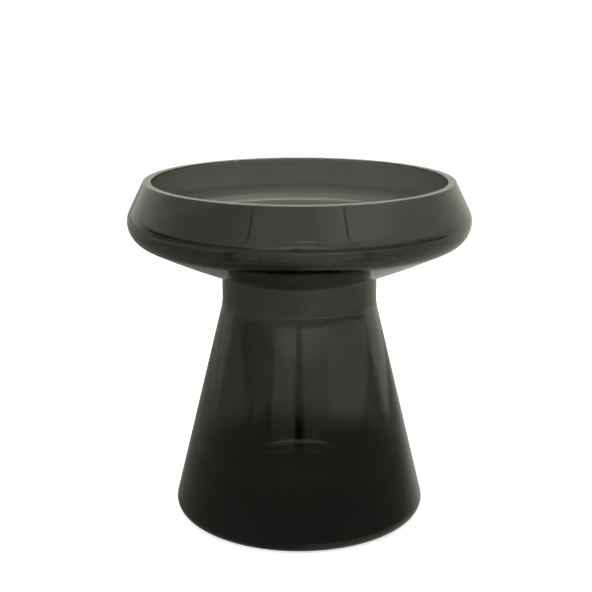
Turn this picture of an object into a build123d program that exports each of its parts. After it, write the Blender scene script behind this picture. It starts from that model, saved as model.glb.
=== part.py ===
"""A smoked glass vase: a wide shallow bowl on a waisted neck and a flared, hollow body.

Two blown sections are joined hot, lip to lip, at the neck: the bowl above the seam and the body
below it. Together they make one open vessel, from the cut rim down to the thick floor.
The vase stands on z = 0 and is round about Z. Everything is in millimetres and degrees.
"""

from build123d import *
from math import atan2, cos, degrees, hypot, radians, sin, sqrt, tan
import os

# Glass
wall = 4.5
floor_thickness = 12.0  # from the ring it stands on up to the inside of the floor

# Body, below the seam
body_height = 145.0  # from the ring it stands on up to the seam
neck_radius = 45.5  # outside of the neck
neck_length = 18.0  # seam down to the corner of neck and flare, before that is rounded
shoulder_round = 33.0  # outside radius between neck and flare
base_radius = 76.5  # outside corner of flare and underside, before that is rounded
base_round = 5.5  # outside radius at the foot
heel_height = 36.0  # up to where the wall starts to thicken towards the floor
heel_gain = 9.0  # how much thicker, measured level, the wall has become at the floor
heel_round = 50.0  # inside radius where the thickening starts
floor_round = 9.0  # inside radius between floor and heel
ring_width = 8.0  # flat ring that the vase stands on
kick_up = 1.6  # how far the middle of the underside is pushed up

# Bowl, above the seam
bowl_height = 55.0  # seam to rim
rim_radius = 90.0  # outside of the cut rim
rim_lean = 26.4  # the wall's lean from upright, wider downwards
belly_round = 13.4  # outside radius where the wall turns into the underside
underside_round = 488.0  # long radius of the underside
seam_slope = 20.6  # rise of the underside where it leaves the neck
throat_round = 3.5  # inside radius where the bowl's floor drops into the neck
rim_polish = 0.7  # radius on both edges of the cut rim

throat_radius = neck_radius - wall
rim_height = body_height + bowl_height


def bowl_curve(skin):
    """The bowl's section at a depth of skin inside its outer surface, as points (radius, height).

    They are the rim, the belly's arc (start, middle, end) and the underside's (middle, end).
    """
    down = Vector(sin(radians(rim_lean)), -cos(radians(rim_lean)))
    inward = Vector(-cos(radians(rim_lean)), -sin(radians(rim_lean)))
    up_from_seam = Vector(-sin(radians(seam_slope)), cos(radians(seam_slope)))
    long_centre = Vector(neck_radius, body_height) + up_from_seam * underside_round

    # The belly's circle touches the wall, and touches the underside's circle from inside.
    start = Vector(rim_radius, rim_height) + inward * belly_round
    offset_start = start - long_centre
    along = offset_start.dot(down)
    beyond = (underside_round - belly_round) ** 2 - offset_start.dot(offset_start)
    belly_centre = start + down * (sqrt(along**2 + beyond) - along)

    rim = Vector(rim_radius - skin / cos(radians(rim_lean)), rim_height)
    to_wall = -inward
    to_underside = (belly_centre - long_centre).normalized()
    belly = [
        belly_centre + side.normalized() * (belly_round - skin)
        for side in (to_wall, to_wall + to_underside, to_underside)
    ]

    long_radius = underside_round - skin
    end_radius = neck_radius - skin
    drop = sqrt(long_radius**2 - (end_radius - long_centre.X) ** 2)
    end = Vector(end_radius, long_centre.Y - drop)
    to_middle = (belly[2] + end - long_centre * 2).normalized()
    return rim, *belly, long_centre + to_middle * long_radius, end


def corner(sketch, point):
    """The corner of a section that lies at a point."""
    return sketch.vertices().sort_by_distance(Vector(*point))[0]


# Bowl: rim wall, belly and underside, open at the throat
outer = bowl_curve(0)
inner = bowl_curve(wall)
with BuildPart() as bowl:
    with BuildSketch(Plane.XZ) as bowl_section:
        with BuildLine():
            Line(outer[0], outer[1])
            ThreePointArc(outer[1], outer[2], outer[3])
            ThreePointArc(outer[3], outer[4], outer[5])
            Polyline(outer[5], (throat_radius, body_height), inner[5])
            ThreePointArc(inner[5], inner[4], inner[3])
            ThreePointArc(inner[3], inner[2], inner[1])
            Polyline(inner[1], inner[0], outer[0])
        make_face()
        fillet(corner(bowl_section, inner[5]), throat_round)
        fillet(corner(bowl_section, inner[0]), rim_polish)
        fillet(corner(bowl_section, outer[0]), rim_polish)
    revolve(axis=Axis.Z)

# Body: neck, flare, thick heel and floor, closed at the bottom
flare_run = base_radius - neck_radius
flare_rise = body_height - neck_length
flare_side = hypot(flare_run, flare_rise)
flare_angle = degrees(atan2(flare_run, flare_rise))  # from upright


def flare_inside(height):
    """Inside radius of the flare's straight side at a height."""
    return base_radius - flare_run * height / flare_rise - wall * flare_side / flare_rise


foot_radius = base_radius - base_round / tan(radians(90 - flare_angle) / 2)  # outside of the ring
ring_inside = foot_radius - ring_width
neck_corner = (neck_radius, flare_rise)
neck_corner_inside = (throat_radius, flare_rise - wall * (flare_side - flare_rise) / flare_run)
heel_corner = (flare_inside(heel_height), heel_height)
floor_corner = (flare_inside(floor_thickness) - heel_gain, floor_thickness)
with BuildPart() as body:
    with BuildSketch(Plane.XZ) as body_section:
        with BuildLine():
            Polyline(
                (ring_inside, 0),
                (base_radius, 0),
                neck_corner,
                (neck_radius, body_height),
                (throat_radius, body_height),
                neck_corner_inside,
                heel_corner,
                floor_corner,
                (0, floor_thickness),
                (0, kick_up),
            )
            TangentArc((0, kick_up), (ring_inside, 0), tangent=(1, 0))
        make_face()
        fillet(corner(body_section, (base_radius, 0)), base_round)
        fillet(corner(body_section, neck_corner), shoulder_round)
        fillet(corner(body_section, neck_corner_inside), shoulder_round + wall)
        fillet(corner(body_section, heel_corner), heel_round)
        fillet(corner(body_section, floor_corner), floor_round)
    revolve(axis=Axis.Z)

os.makedirs("parts", exist_ok=True)
bowl.part.label = "bowl"
export_step(bowl.part, "parts/bowl.step")
body.part.label = "body"
export_step(body.part, "parts/body.step")
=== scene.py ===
from math import atan2, cos, hypot, pi, radians, sin, tan

import bpy
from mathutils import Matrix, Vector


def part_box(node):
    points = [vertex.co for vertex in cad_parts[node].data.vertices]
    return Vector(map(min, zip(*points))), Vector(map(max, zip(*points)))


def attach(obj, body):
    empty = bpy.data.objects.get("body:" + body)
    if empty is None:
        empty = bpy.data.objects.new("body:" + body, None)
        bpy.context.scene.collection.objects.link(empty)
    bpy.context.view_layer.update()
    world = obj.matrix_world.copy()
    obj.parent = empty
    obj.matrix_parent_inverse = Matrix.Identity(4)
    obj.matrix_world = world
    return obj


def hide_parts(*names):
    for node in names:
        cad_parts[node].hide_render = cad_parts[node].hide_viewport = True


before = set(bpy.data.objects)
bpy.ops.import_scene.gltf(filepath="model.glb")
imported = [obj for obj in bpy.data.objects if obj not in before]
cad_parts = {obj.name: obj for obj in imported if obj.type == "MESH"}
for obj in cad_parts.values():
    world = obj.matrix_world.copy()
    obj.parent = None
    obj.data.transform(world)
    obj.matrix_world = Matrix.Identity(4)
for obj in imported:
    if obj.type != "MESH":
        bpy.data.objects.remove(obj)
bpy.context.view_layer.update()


# ---- The vase's section --------------------------------------------------------------------
# Two sections of smoked glass, blown into turned moulds and joined hot, lip to lip, at the neck.
# Fused, they are one wall all round, so the vase is turned here as one closed skin, from the
# pushed-up middle of the underside, over the cut rim, down to the middle of the floor inside.

(_, _, foot), (_, _, seam_height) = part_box("body")
(_, _, _), (_, _, rim_height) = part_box("bowl")

WALL = 0.0045
FLOOR = 0.012
FLOOR_ROUND = 0.009
HEEL_HEIGHT = 0.036
HEEL_GAIN = 0.009
HEEL_ROUND = 0.05
BASE_RADIUS = 0.0765
BASE_ROUND = 0.0055
RING_WIDTH = 0.008
RING_SOFTENED = 0.001
KICK_UP = 0.0016
NECK_RADIUS = 0.0455
NECK_LENGTH = 0.018
SHOULDER_ROUND = 0.033
SEAM_MELT = 0.0008
SEAM_SLOPE = radians(20.6)
UNDERSIDE_ROUND = 0.488
BELLY_SLOPE = radians(26.59)
BELLY_ROUND = 0.0133
RIM_LEAN = radians(26.4)
RIM_POLISH = 0.0007
THROAT_ROUND = 0.0035


def onward(start, slope, distance):
    """The point reached from start by going a distance at a slope from level."""
    return (start[0] + distance * cos(slope), start[1] + distance * sin(slope))


def inset(corners, depth):
    """The inner corners of a run of corners: each pair of sides moved in by a depth, and crossed."""
    sides = []
    for (r0, z0), (r1, z1) in zip(corners, corners[1:]):
        length = hypot(r1 - r0, z1 - z0)
        normal = ((z0 - z1) / length, (r1 - r0) / length)
        sides.append((normal, normal[0] * r0 + normal[1] * z0 + depth))
    crossed = []
    for ((a, b), e), ((c, d), f) in zip(sides, sides[1:]):
        turn = a * d - b * c
        crossed.append(((e * d - b * f) / turn, (a * f - e * c) / turn))
    return crossed


seam = (NECK_RADIUS, seam_height)
underside_reach = UNDERSIDE_ROUND * tan((BELLY_SLOPE - SEAM_SLOPE) / 2)
belly_reach = BELLY_ROUND * tan((pi / 2 + RIM_LEAN - BELLY_SLOPE) / 2)
underside = onward(seam, SEAM_SLOPE, underside_reach)
belly = onward(underside, BELLY_SLOPE, underside_reach + belly_reach)
rim = onward(belly, pi / 2 + RIM_LEAN, (rim_height - belly[1]) / cos(RIM_LEAN))
shoulder = (NECK_RADIUS, seam_height - NECK_LENGTH)
outside = [(BASE_RADIUS, foot), shoulder, seam, underside, belly, rim, (0, rim_height)]
inner_shoulder, inner_seam, inner_underside, inner_belly, _ = inset(outside, WALL)
inner_rim = (rim[0] - WALL / cos(RIM_LEAN), rim_height)

flare = atan2(BASE_RADIUS - NECK_RADIUS, shoulder[1])
heel = (inner_shoulder[0] + (inner_shoulder[1] - HEEL_HEIGHT) * tan(flare), HEEL_HEIGHT)
inner_floor = (inner_shoulder[0] + (inner_shoulder[1] - FLOOR) * tan(flare) - HEEL_GAIN, FLOOR)
ring_outside = BASE_RADIUS - BASE_ROUND * tan((pi / 2 + flare) / 2)
ring_inside = ring_outside - RING_WIDTH
kick_round = (ring_inside / 2) ** 2 / KICK_UP

# Each corner of the section: where it is, the radius it is rounded to, and whether it is inside.
section = [
    ((0, KICK_UP), 0, 0),
    ((ring_inside / 2, KICK_UP), kick_round, 0),
    ((ring_inside, foot), RING_SOFTENED, 0),
    ((BASE_RADIUS, foot), BASE_ROUND, 0),
    (shoulder, SHOULDER_ROUND, 0),
    (seam, SEAM_MELT, 0),
    (underside, UNDERSIDE_ROUND, 0),
    (belly, BELLY_ROUND, 0),
    (rim, RIM_POLISH, 0),
    (inner_rim, RIM_POLISH, 0),
    (inner_belly, BELLY_ROUND - WALL, 1),
    (inner_underside, UNDERSIDE_ROUND - WALL, 1),
    (inner_seam, THROAT_ROUND, 1),
    (inner_shoulder, SHOULDER_ROUND + WALL, 1),
    (heel, HEEL_ROUND, 1),
    (inner_floor, FLOOR_ROUND, 1),
    ((0, FLOOR), 0, 1),
]

outline = bpy.data.meshes.new("vase_outline")
outline.from_pydata(
    [(radius, -height, 0) for (radius, height), _, _ in section],
    [(i, i + 1) for i in range(len(section) - 1)],
    [],
)
for name, column in (("rounding", 1), ("inside", 2)):
    layer = outline.attributes.new(name, "FLOAT", "POINT")
    layer.data.foreach_set("value", [entry[column] for entry in section])


# ---- Turning the section -------------------------------------------------------------------
# The mould gives the vase its round shape: the section is rounded at its corners and swept once
# round the axis. Only the inside, which no mould touches, keeps the slight unevenness of blowing.

TURNS = 256
LONGEST_STEP = 0.0026
ARC_POINTS = 14
UNEVENNESS = 0.00012
RIPPLE_SIZE = 0.028
WELD_DISTANCE = 0.000004
RAIL_RADIUS = 1.0


class Out:
    """A node's output. Sums and products with it lay down the Math nodes they need."""

    def __init__(self, bench, socket):
        self.bench = bench
        self.socket = socket

    def maths(self, operation, first, second):
        return self.bench.node("ShaderNodeMath", {"operation": operation}, {0: first, 1: second})

    def __add__(self, other):
        return self.maths("ADD", self, other)

    def __sub__(self, other):
        return self.maths("SUBTRACT", self, other)

    def __rsub__(self, other):
        return self.maths("SUBTRACT", other, self)

    def __mul__(self, other):
        return self.maths("MULTIPLY", self, other)

    def __truediv__(self, other):
        return self.maths("DIVIDE", self, other)

    def __rtruediv__(self, other):
        return self.maths("DIVIDE", other, self)

    __radd__ = __add__
    __rmul__ = __mul__


class Bench:
    """Lays nodes in one tree, of geometry or of a material, and joins them as it goes."""

    def __init__(self, tree):
        self.tree = tree

    def node(self, kind, settings=None, inputs=None, output=0):
        made = self.tree.nodes.new(kind)
        for name, value in (settings or {}).items():
            setattr(made, name, value)
        for name, value in (inputs or {}).items():
            if isinstance(value, Out):
                self.tree.links.new(value.socket, made.inputs[name])
            else:
                made.inputs[name].default_value = value
        return Out(self, made.outputs[output] if made.outputs else None)


def turning():
    """Geometry Nodes that turn an outline, drawn in X and Y, into a closed skin about Z."""
    tree = bpy.data.node_groups.new("turn_on_axis", "GeometryNodeTree")
    tree.interface.new_socket("Outline", in_out="INPUT", socket_type="NodeSocketGeometry")
    for name, kind in (
        ("Turns", "Int"),
        ("Arc points", "Int"),
        ("Longest step", "Float"),
        ("Unevenness", "Float"),
        ("Ripple size", "Float"),
        ("Glass", "Material"),
    ):
        tree.interface.new_socket(name, in_out="INPUT", socket_type=f"NodeSocket{kind}")
    tree.interface.new_socket("Skin", in_out="OUTPUT", socket_type="NodeSocketGeometry")
    bench = Bench(tree)
    given = tree.nodes.new("NodeGroupInput").outputs
    size = {socket.name: Out(bench, socket) for socket in given if socket.name}

    def attribute(name):
        return bench.node("GeometryNodeInputNamedAttribute", {"data_type": "FLOAT"}, {"Name": name})

    line = bench.node("GeometryNodeMeshToCurve", {}, {"Mesh": size["Outline"]})
    rounded = bench.node(
        "GeometryNodeFilletCurve",
        {"mode": "POLY"},
        {"Curve": line, "Count": size["Arc points"], "Radius": attribute("rounding")},
    )
    here = bench.node("GeometryNodeInputPosition")
    following = bench.node(
        "GeometryNodeFieldAtIndex",
        {"data_type": "FLOAT_VECTOR", "domain": "POINT"},
        {"Index": bench.node("GeometryNodeInputIndex") + 1, "Value": here},
    )
    gap = bench.node(
        "ShaderNodeVectorMath", {"operation": "DISTANCE"}, {0: here, 1: following}, "Value"
    )
    stepped = bench.node(
        "GeometryNodeSubdivideCurve", {}, {"Curve": rounded, "Cuts": gap / size["Longest step"]}
    )
    # The rail is a circle of one metre, so the outline is drawn as far inside it.
    rail = bench.node(
        "GeometryNodeCurvePrimitiveCircle",
        {},
        {"Resolution": size["Turns"], "Radius": RAIL_RADIUS},
    )
    drawn = bench.node(
        "GeometryNodeSetPosition", {}, {"Geometry": stepped, "Offset": (-RAIL_RADIUS, 0, 0)}
    )
    turned = bench.node("GeometryNodeCurveToMesh", {}, {"Curve": rail, "Profile Curve": drawn})
    outward = bench.node("GeometryNodeFlipFaces", {}, {"Mesh": turned})
    closed = bench.node(
        "GeometryNodeMergeByDistance", {}, {"Geometry": outward, "Distance": WELD_DISTANCE}
    )
    ripple = bench.node(
        "ShaderNodeTexNoise", {}, {"Scale": 1 / size["Ripple size"], "Detail": 1.0}, "Fac"
    )
    depth = (ripple - 0.5) * size["Unevenness"] * attribute("inside")
    blown = bench.node(
        "GeometryNodeSetPosition",
        {},
        {
            "Geometry": closed,
            "Offset": bench.node(
                "ShaderNodeVectorMath",
                {"operation": "SCALE"},
                {0: bench.node("GeometryNodeInputNormal"), "Scale": depth},
            ),
        },
    )
    smooth = bench.node("GeometryNodeSetShadeSmooth", {}, {"Geometry": blown})
    real = bench.node("GeometryNodeRealizeInstances", {}, {"Geometry": smooth})
    skin = bench.node("GeometryNodeSetMaterial", {}, {"Geometry": real, "Material": size["Glass"]})
    tree.links.new(skin.socket, tree.nodes.new("NodeGroupOutput").inputs[0])
    return tree


# ---- Smoked glass --------------------------------------------------------------------------
# Soda-lime glass with a grey-green smoke melted through it: it darkens with its thickness, so the
# colour is in its depth and its surface is clear. The rim is ground flat and polished by hand; a
# faint chill line is left inside, where the hot wall met the floor of the mould.

REFRACTION = 1.52
SMEAR_SIZE = 0.045
SMEAR_ROUGHNESS = 0.012
GROUND_DEPTH = 0.0003
GROUND_ROUGHNESS = 0.08
SMOKE = (0.085, 0.10, 0.0)
SMOKE_DEPTH = 372.0
CHILL_RADIUS = 0.0568
CHILL_HEIGHT = 0.0147
CHILL_WIDTH = 0.0014
CHILL_RISE = 0.004
CHILL_ROUGHNESS = 0.3

glass = bpy.data.materials.new("smoked_glass")
glass.use_nodes = True
glass.node_tree.nodes.clear()
bench = Bench(glass.node_tree)
place = bench.node("ShaderNodeTexCoord", {}, {}, "Object")
smears = bench.node(
    "ShaderNodeTexNoise", {}, {"Vector": place, "Scale": 1 / SMEAR_SIZE, "Detail": 4.0}, "Fac"
)
x, y, z = (bench.node("ShaderNodeSeparateXYZ", {}, {"Vector": place}, axis) for axis in "XYZ")
from_axis = bench.node("ShaderNodeMath", {"operation": "POWER"}, {0: x * x + y * y, 1: 0.5})


def band(value, middle, half_width):
    """One at a middle value, falling softly to zero at a half width from it."""
    off = bench.node("ShaderNodeMath", {"operation": "ABSOLUTE"}, {0: value - middle})
    return bench.node(
        "ShaderNodeMapRange",
        {"interpolation_type": "SMOOTHSTEP"},
        {"Value": off, "From Min": half_width, "From Max": 0.0},
    )


chill = band(from_axis, CHILL_RADIUS, CHILL_WIDTH) * band(z, CHILL_HEIGHT, CHILL_RISE)
ground = band(z, rim_height, GROUND_DEPTH)
clear = bench.node(
    "ShaderNodeBsdfPrincipled",
    {},
    {
        "Base Color": (1, 1, 1, 1),
        "Roughness": smears * SMEAR_ROUGHNESS + chill * CHILL_ROUGHNESS + ground * GROUND_ROUGHNESS,
        "IOR": REFRACTION,
        "Transmission Weight": 1.0,
    },
)
depth = bench.node("ShaderNodeVolumeAbsorption", {}, {"Color": (*SMOKE, 1), "Density": SMOKE_DEPTH})
bench.node("ShaderNodeOutputMaterial", {}, {"Surface": clear, "Volume": depth})

drawn_vase = bpy.data.objects.new("vase_outline", outline)
bpy.context.scene.collection.objects.link(drawn_vase)
wheel = drawn_vase.modifiers.new("wheel", "NODES")
wheel.node_group = turning()
for socket, value in (
    ("Turns", TURNS),
    ("Arc points", ARC_POINTS),
    ("Longest step", LONGEST_STEP),
    ("Unevenness", UNEVENNESS),
    ("Ripple size", RIPPLE_SIZE),
    ("Glass", glass),
):
    wheel[wheel.node_group.interface.items_tree[socket].identifier] = value
turned = bpy.data.meshes.new_from_object(
    drawn_vase.evaluated_get(bpy.context.evaluated_depsgraph_get())
)
bpy.data.objects.remove(drawn_vase)
vase = bpy.data.objects.new("smoked_glass_vase", turned)
bpy.context.scene.collection.objects.link(vase)
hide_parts("bowl", "body")
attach(vase, "root")


# ---- Table -----------------------------------------------------------------------------------
# A wide white table top, matt, on which the vase stands. It shows as plain white with the vase's
# soft shadow. Mirrored low in the glass it shows a painted reflection instead: there it glows with
# painted light and painted shade, duller, darkest close by and lighter out of its shade.

TABLE_REACH = 9.0
TABLE_WHITE = 0.8
LIFT = 0.72
CLEARANCE = 0.0001
WHITE = (1.0, 1.0, 1.0)
STUDIO_TINT = (1.0, 1.02, 0.87)
SHADE = 0.22
SHADE_LIT_RIGHT = 0.3
SHADE_START = 0.7
SHADE_END = 0.9
SHORTER_AT_BACK = 0.22
FRONT_LEFT = 0.5
FRONT_MIDDLE_MORE = 0.4
FRONT_RIGHT_MORE = 0.3
FAR_RIGHT_LESS = 0.5
BACK = 0.7
BACK_LEFT_LESS = 0.38
BACK_LEFT_REGAINED = 0.12

tabletop = bpy.data.meshes.new("table")
tabletop.from_pydata(
    [
        (x * TABLE_REACH, y * TABLE_REACH, foot - CLEARANCE)
        for x, y in ((-1, -1), (1, -1), (1, 1), (-1, 1))
    ],
    [],
    [(0, 1, 2, 3)],
)
table = bpy.data.objects.new("table", tabletop)
bpy.context.scene.collection.objects.link(table)
paint = bpy.data.materials.new("white_table")
paint.use_nodes = True
paint.node_tree.nodes.clear()
bench = Bench(paint.node_tree)


def ray(kind):
    """One where the light path is of a kind, and zero elsewhere."""
    return bench.node("ShaderNodeLightPath", {}, {}, f"Is {kind} Ray")


def fade(value, start, end):
    """From zero at start to one at end, smoothly."""
    return bench.node(
        "ShaderNodeMapRange",
        {"interpolation_type": "SMOOTHSTEP"},
        {"Value": value, "From Min": start, "From Max": end},
    )


def vector(operation, first, second):
    return bench.node("ShaderNodeVectorMath", {"operation": operation}, {0: first, 1: second})


def tinted(colour, level):
    """A colour, made lighter or darker by a level."""
    return bench.node("ShaderNodeVectorMath", {"operation": "SCALE"}, {0: colour, "Scale": level})


def mirrored():
    """One for light that a shiny surface mirrors, and zero for light seen through the glass."""
    return ray("Glossy") * (1 - ray("Transmission"))


# Painted reflection: the level the table glows at in mirrored light. It is painted shade close to the
# vase and painted light farther out, lighter or darker by side and towards the back.
spot = bench.node("ShaderNodeTexCoord", {}, {}, "Object")
to_right, to_back = (bench.node("ShaderNodeSeparateXYZ", {}, {"Vector": spot}, axis) for axis in "XY")
distance = bench.node("ShaderNodeVectorMath", {"operation": "LENGTH"}, {0: spot}, "Value")
flatness = bench.node("ShaderNodeLayerWeight", {}, {"Blend": 0.5}, "Facing")
side = to_right / distance
at_back = fade(to_back / distance, 0.2, 0.4)

painted_light_ahead = (
    FRONT_LEFT
    + FRONT_MIDDLE_MORE * fade(side, -0.4, 0.0)
    + FRONT_RIGHT_MORE * fade(side, 0.1, 0.4)
    - FAR_RIGHT_LESS * fade(side, 0.5, 0.85)
)
lost_on_left = BACK_LEFT_LESS - BACK_LEFT_REGAINED * fade(distance, 1.0, 1.3)
painted_light_behind = BACK - lost_on_left * fade(side, 0.2, -0.2)
painted_light_open_table = painted_light_ahead + (painted_light_behind - painted_light_ahead) * at_back
out_of_shade = fade(distance + SHORTER_AT_BACK * at_back, SHADE_START, SHADE_END)
seen = at_back + (1 - at_back) * fade(flatness, 0.88, 0.85)
painted_shade_close = SHADE + SHADE_LIT_RIGHT * fade(flatness, 0.85, 0.7) * fade(side, -0.2, 0.3)
painted_table_light = painted_shade_close + (painted_light_open_table - painted_shade_close) * out_of_shade * seen

matt = bench.node("ShaderNodeBsdfDiffuse", {}, {"Color": (*(TABLE_WHITE,) * 3, 1)})
# In mirrored light the table glows with this painted light and painted shade, though it is no lamp.
painted_reflection_glow = bench.node("ShaderNodeEmission", {}, {"Color": tinted(STUDIO_TINT, painted_table_light)})
top = bench.node("ShaderNodeMixShader", {}, {"Fac": mirrored(), 1: matt, 2: painted_reflection_glow})
lift = bench.node("ShaderNodeEmission", {}, {"Color": tinted(WHITE, ray("Camera") * LIFT)})
coat = bench.node("ShaderNodeAddShader", {}, {0: top, 1: lift})
bench.node("ShaderNodeOutputMaterial", {}, {"Surface": coat})
tabletop.materials.append(paint)


# ---- Studio ----------------------------------------------------------------------------------
# One broad soft lamp overhead, in a pale room. The glass mirrors what stands round it: two pale
# boards in front with a dark gap between them, a dark cloth on the left, and a lighter wall on the
# right. Bearings are in degrees from the front, to the right.

AMBIENT = 0.4
THROUGH = 0.5
LAMP_PLACE = (0.05, -0.35, 1.3)
LAMP_SIZE = 1.8
LAMP_GLOW = 1.5
OVERHEAD_GLOW = 2.0
ROOM = 0.8
SKIRTING = 0.2
BOARD = 0.3
RIGHT_WALL = 0.5
LEFT_DIMMED = 0.3
RIGHT_LIT = 0.3
CEILING_LIT = 0.6
FRONT_SPAN = (-120, 110)
LEFT_SPAN = (-110, -40)
RIGHT_SPAN = (20, 90)
LEFT_BOARD_SPAN = (-32, -5)
RIGHT_BOARD_SPAN = (5, 35)
RIGHT_WALL_SPAN = (35, 110)
FRAME_DARKNESS = 0.65
TRIPOD_DARKNESS = 0.8

lamp = bpy.data.lights.new("overhead", "AREA")
lamp.size = LAMP_SIZE
lamp.energy = LAMP_GLOW * pi * LAMP_SIZE**2
stand = bpy.data.objects.new("overhead", lamp)
stand.location = LAMP_PLACE
stand.visible_camera = False
stand.visible_glossy = False
bpy.context.scene.collection.objects.link(stand)

room = bpy.data.worlds.new("room")
bpy.context.scene.world = room
room.use_nodes = True
room.node_tree.nodes.clear()
bench = Bench(room.node_tree)
way = bench.node("ShaderNodeTexCoord", {}, {}, "Generated")
across, away, up = (bench.node("ShaderNodeSeparateXYZ", {}, {"Vector": way}, axis) for axis in "XYZ")
turn = bench.node("ShaderNodeMath", {"operation": "ARCTAN2"}, {0: across, 1: 0 - away})


def between(start, end, edge):
    """One between two bearings and zero elsewhere, with soft edges."""
    return fade(turn, radians(start - edge), radians(start + edge)) * fade(
        turn, radians(end + edge), radians(end - edge)
    )


at_front = between(*FRONT_SPAN, 20)
on_left = between(*LEFT_SPAN, 20)
on_right = between(*RIGHT_SPAN, 20)
skirting = ROOM + (SKIRTING - ROOM) * at_front
boards = (
    ROOM * (1 - at_front)
    + BOARD * between(*LEFT_BOARD_SPAN, 2)
    + BOARD * between(*RIGHT_BOARD_SPAN, 4)
    + RIGHT_WALL * between(*RIGHT_WALL_SPAN, 5)
)
walls = ROOM - LEFT_DIMMED * on_left + RIGHT_LIT * on_right
ceiling = ROOM - LEFT_DIMMED * on_left + CEILING_LIT * on_right

skirting_top = 0.05 + 0.037 * fade(turn, -1.0, -0.85) - 0.09 * fade(turn, 0.5, 1.6)
above_skirting = fade(up, skirting_top - 0.01, skirting_top + 0.015)
above_boards = fade(up, 0.14, 0.2)
in_ceiling = fade(up, 0.5, 0.57)
mirror = (
    skirting * (1 - above_skirting)
    + boards * above_skirting * (1 - above_boards)
    + walls * above_boards * (1 - in_ceiling)
    + ceiling * in_ceiling
    + OVERHEAD_GLOW * fade(up, 0.75, 0.85)
)

# A thin dark frame on either side of the boards, and a tripod that stands in their gap.
aside = bench.node("ShaderNodeMath", {"operation": "ABSOLUTE"}, {0: turn + 0.015})
off_frame = aside - 0.72 + 0.08 * fade(up, 0.3, 0.6)
frames = fade(off_frame, -0.025, -0.006) * fade(off_frame, 0.025, 0.006)
frames = frames * fade(up, 0.2, 0.3) * fade(up, 0.78, 0.72)
tripod = fade(aside + 0.22 * (up - 0.1), 0.1, 0.06) * fade(up, 0.1, 0.14)
mirror = mirror * (1 - FRAME_DARKNESS * frames) * (1 - TRIPOD_DARKNESS * tripod)

plain = (
    AMBIENT * (1 - mirrored())
    + (1 - AMBIENT) * ray("Camera")
    + (THROUGH - AMBIENT) * ray("Transmission")
)
shown = vector("ADD", tinted(WHITE, plain), tinted(STUDIO_TINT, mirror * mirrored()))
air = bench.node("ShaderNodeBackground", {}, {"Color": shown})
bench.node("ShaderNodeOutputWorld", {}, {"Surface": air})
bpy.context.scene.view_settings.view_transform = "Standard"


# ---- Camera ----------------------------------------------------------------------------------
# It stands in front of the vase and a little above its rim, and looks slightly down.

EYE_PLACE = (-0.002, -0.65837, 0.30271)
EYE_DOWN = 14.71
LENS = 69.79
SENSOR = 36.0

camera = bpy.data.cameras.new("camera")
camera.lens = LENS
camera.sensor_width = SENSOR
eye = bpy.data.objects.new("camera", camera)
eye.location = EYE_PLACE
eye.rotation_euler = (radians(90 - EYE_DOWN), 0, 0)
bpy.context.scene.collection.objects.link(eye)
bpy.context.scene.camera = eye
